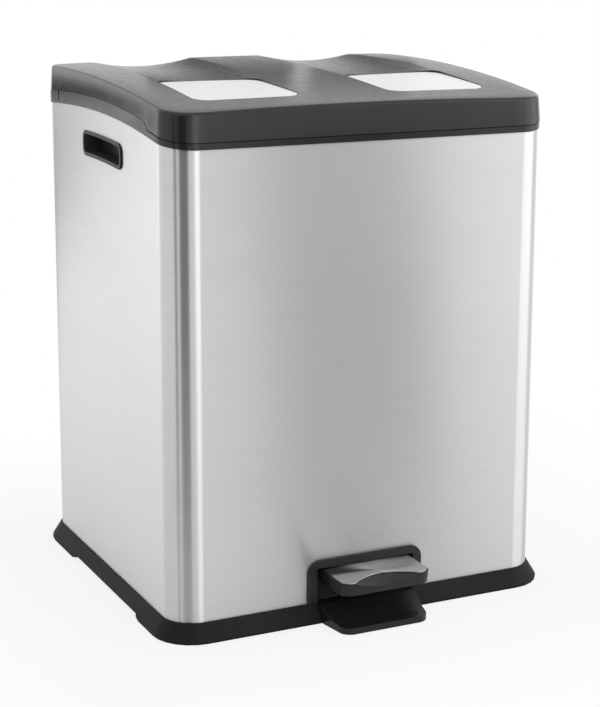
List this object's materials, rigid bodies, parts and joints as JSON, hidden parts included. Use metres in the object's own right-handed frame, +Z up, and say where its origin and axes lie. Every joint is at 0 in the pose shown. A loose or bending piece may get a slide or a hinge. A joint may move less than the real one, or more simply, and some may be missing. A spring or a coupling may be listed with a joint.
{
  "type": "double recycling bin",
  "caption": "Free-standing double recycling bin: brushed steel body on a plastic base, a crowned lid opened by a pedal, and lift-out buckets with bails side by side.",
  "frame": {"origin": "centre of the whole object's footprint, pedal and toe plate included, on the floor", "axes": "+Z up, -Y towards the user at the pedal, +X to the right seen from the front"},
  "size_m": [0.403, 0.399, 0.4968],
  "materials": {
    "brushed_steel": "fine horizontal brushing, satin",
    "plain_steel": "zinc-plated, dull",
    "charcoal_plastic": "fine moulded grain, matte",
    "black_plastic": "satin moulded",
    "bucket_grey": "smooth moulded",
    "label_white": "smooth satin, bare",
    "rubber": "moulded"
  },
  "bodies": {
    "body": {"steel_body": "brushed_steel", "base_frame": "charcoal_plastic", "foot_pad_front_left": "rubber", "foot_pad_front_right": "rubber", "foot_pad_back_left": "rubber", "foot_pad_back_right": "rubber", "top_collar": "charcoal_plastic", "hinge_pin_left": "plain_steel", "hinge_pin_right": "plain_steel", "carry_handle_left": "black_plastic", "carry_handle_right": "black_plastic", "pedal_surround": "black_plastic", "toe_plate": "black_plastic", "pedal_pivot_pin": "plain_steel", "rod_guide_lower": "black_plastic", "rod_guide_upper": "black_plastic", "damper_cylinder": "plain_steel", "damper_cap": "black_plastic"},
    "lid": {"lid_shell": "charcoal_plastic", "lid_inner_panel": "charcoal_plastic", "label_plate_left": "label_white", "label_plate_right": "label_white", "lid_crank": "plain_steel", "crank_screw_left": "plain_steel", "crank_screw_right": "plain_steel"},
    "pedal": {"pedal_pad": "black_plastic", "pedal_cover": "brushed_steel", "pedal_lever": "plain_steel", "pedal_screw_front": "plain_steel", "pedal_screw_back": "plain_steel"},
    "lift": {"lift_rod": "plain_steel", "rod_shoe": "black_plastic", "rod_head": "black_plastic", "rod_crosshead": "black_plastic", "damper_piston": "plain_steel"},
    "bucket_left_body": {"bucket_left": "bucket_grey"},
    "bucket_right_body": {"bucket_right": "bucket_grey"},
    "bail_left_body": {"bail_left": "plain_steel", "bail_grip_left": "black_plastic"},
    "bail_right_body": {"bail_right": "plain_steel", "bail_grip_right": "black_plastic"}
  },
  "joints": [
    {"name": "lid_open", "type": "hinge", "parent": "body", "child": "lid", "pos_m": [0, 0.1815, 0.477], "axis": [-1, 0, 0], "range_deg": [0, 75]},
    {"name": "pedal_press", "type": "hinge", "parent": "body", "child": "pedal", "pos_m": [0, -0.0365, 0.024], "axis": [1, 0, 0], "range_deg": [0, 6.55]},
    {"name": "rod_lift", "type": "slide", "parent": "body", "child": "lift", "axis": [0, 0, 1], "range_m": [0, 0.023]},
    {"name": "bucket_left_lift", "type": "slide", "parent": "body", "child": "bucket_left_body", "axis": [0, 0, 1], "range_m": [0, 0.004]},
    {"name": "bucket_right_lift", "type": "slide", "parent": "body", "child": "bucket_right_body", "axis": [0, 0, 1], "range_m": [0, 0.004]},
    {"name": "bail_left_swing", "type": "hinge", "parent": "bucket_left_body", "child": "bail_left_body", "pos_m": [-0.087, 0.0095, 0.4535], "axis": [-1, 0, 0], "range_deg": [0, 2]},
    {"name": "bail_right_swing", "type": "hinge", "parent": "bucket_right_body", "child": "bail_right_body", "pos_m": [0.087, 0.0095, 0.4535], "axis": [-1, 0, 0], "range_deg": [0, 2]}
  ],
  "couplings": [
    {"joint": "pedal_press", "follows": "lid_open", "ratio": 0.0873},
    {"joint": "rod_lift", "follows": "lid_open", "m_per_rad": 0.01757}
  ]
}
